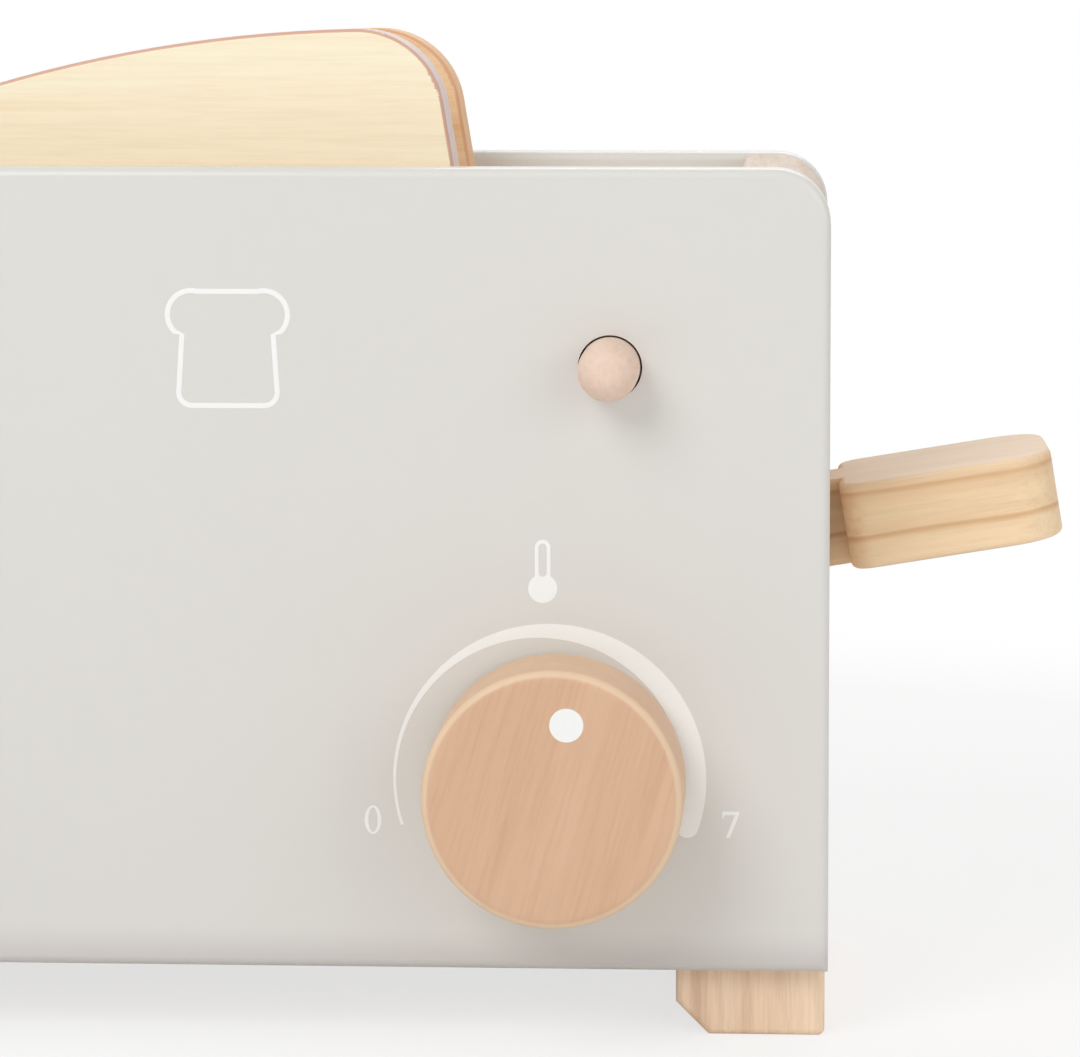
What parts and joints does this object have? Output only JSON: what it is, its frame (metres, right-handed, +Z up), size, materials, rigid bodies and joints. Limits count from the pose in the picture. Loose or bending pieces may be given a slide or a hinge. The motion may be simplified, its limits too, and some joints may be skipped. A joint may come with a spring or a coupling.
{
  "type": "toy toaster",
  "caption": "Wooden toy toaster with painted side boards, pop-up toast slices on a sprung lever with a paddle, a turning dial knob, a release button and its latch.",
  "frame": {"origin": "on the ground, under the centre of the whole toy's bounding box with lever and knob", "axes": "+X along the toaster towards the lever's paddle, +Y from the knob side to the back, +Z up"},
  "size_m": [0.2404, 0.1028, 0.1688],
  "materials": {
    "painted_board": "satin white paint on wood",
    "bare_board": "pale bare wood, fine grain",
    "foot_wood": "bare wood, streaked grain",
    "lever_wood": "bare wood, sanded",
    "dowel_wood": "bare dowel",
    "front_bread": "pale yellow stained wood",
    "rear_bread": "orange-brown stained wood",
    "knob_wood": "bare wood, sanded",
    "button_wood": "bare dowel, rounded end",
    "latch_nylon": "moulded nylon",
    "pin_steel": "bright steel wire and rod",
    "screw_zinc": "zinc plated",
    "sheet_steel": "bent sheet",
    "spring_steel": "spring wire"
  },
  "bodies": {
    "case": {"front_panel": "painted_board", "rear_panel": "painted_board", "left_side_wall": "bare_board", "right_side_wall": "bare_board", "bottom_board": "bare_board", "slot_divider": "bare_board", "front_slot_guide": "bare_board", "rear_slot_guide": "bare_board", "left_foot": "foot_wood", "right_foot": "foot_wood", "foot_screws": "screw_zinc", "panel_dowels": "dowel_wood", "pivot_dowel": "dowel_wood", "pivot_spacers": "dowel_wood", "upper_spring_eye": "pin_steel", "return_spring": "spring_steel", "latch_pin": "pin_steel", "latch_bracket": "sheet_steel", "bracket_screws": "screw_zinc", "latch_spring": "spring_steel"},
    "lever_arm": {"lever": "lever_wood", "bread_tray": "lever_wood", "tray_screws": "screw_zinc", "catch_pin": "pin_steel", "lower_spring_eye": "pin_steel"},
    "front_toast": {"front_slice": "front_bread"},
    "rear_toast": {"rear_slice": "rear_bread"},
    "dial": {"knob": "knob_wood", "knob_axle": "knob_wood", "knob_washer": "pin_steel", "knob_screw": "screw_zinc"},
    "push_button": {"button": "button_wood", "button_collar": "button_wood"},
    "hook": {"latch": "latch_nylon"}
  },
  "joints": [
    {"name": "lever_press", "type": "hinge", "parent": "case", "child": "lever_arm", "pos_m": [-0.09424, 0.0094, 0.054], "axis": [0, 1, 0], "range_deg": [0, 18], "stiffness_Nm_per_rad": 0.5, "springref_deg": -28.65, "deforming": ["return_spring"]},
    {"name": "front_slice_lift", "type": "slide", "parent": "lever_arm", "child": "front_toast", "axis": [-0.1633, 0, 0.9866], "range_m": [0, 0.095]},
    {"name": "rear_slice_lift", "type": "slide", "parent": "lever_arm", "child": "rear_toast", "axis": [-0.1633, 0, 0.9866], "range_m": [0, 0.095]},
    {"name": "knob_turn", "type": "hinge", "parent": "case", "child": "dial", "pos_m": [0.03486, -0.0334, 0.0446], "axis": [0, 1, 0], "continuous": true},
    {"name": "button_press", "type": "slide", "parent": "case", "child": "push_button", "axis": [0, 1, 0], "range_m": [0, 0.004], "stiffness_N_per_m": 200, "springref_m": -0.003},
    {"name": "latch_rock", "type": "hinge", "parent": "case", "child": "hook", "pos_m": [0.04346, -0.0181, 0.062], "axis": [-1, 0, 0], "range_deg": [0, 4.6]}
  ],
  "couplings": [
    {"joint": "latch_rock", "follows": "button_press", "rad_per_m": 19.53}
  ]
}
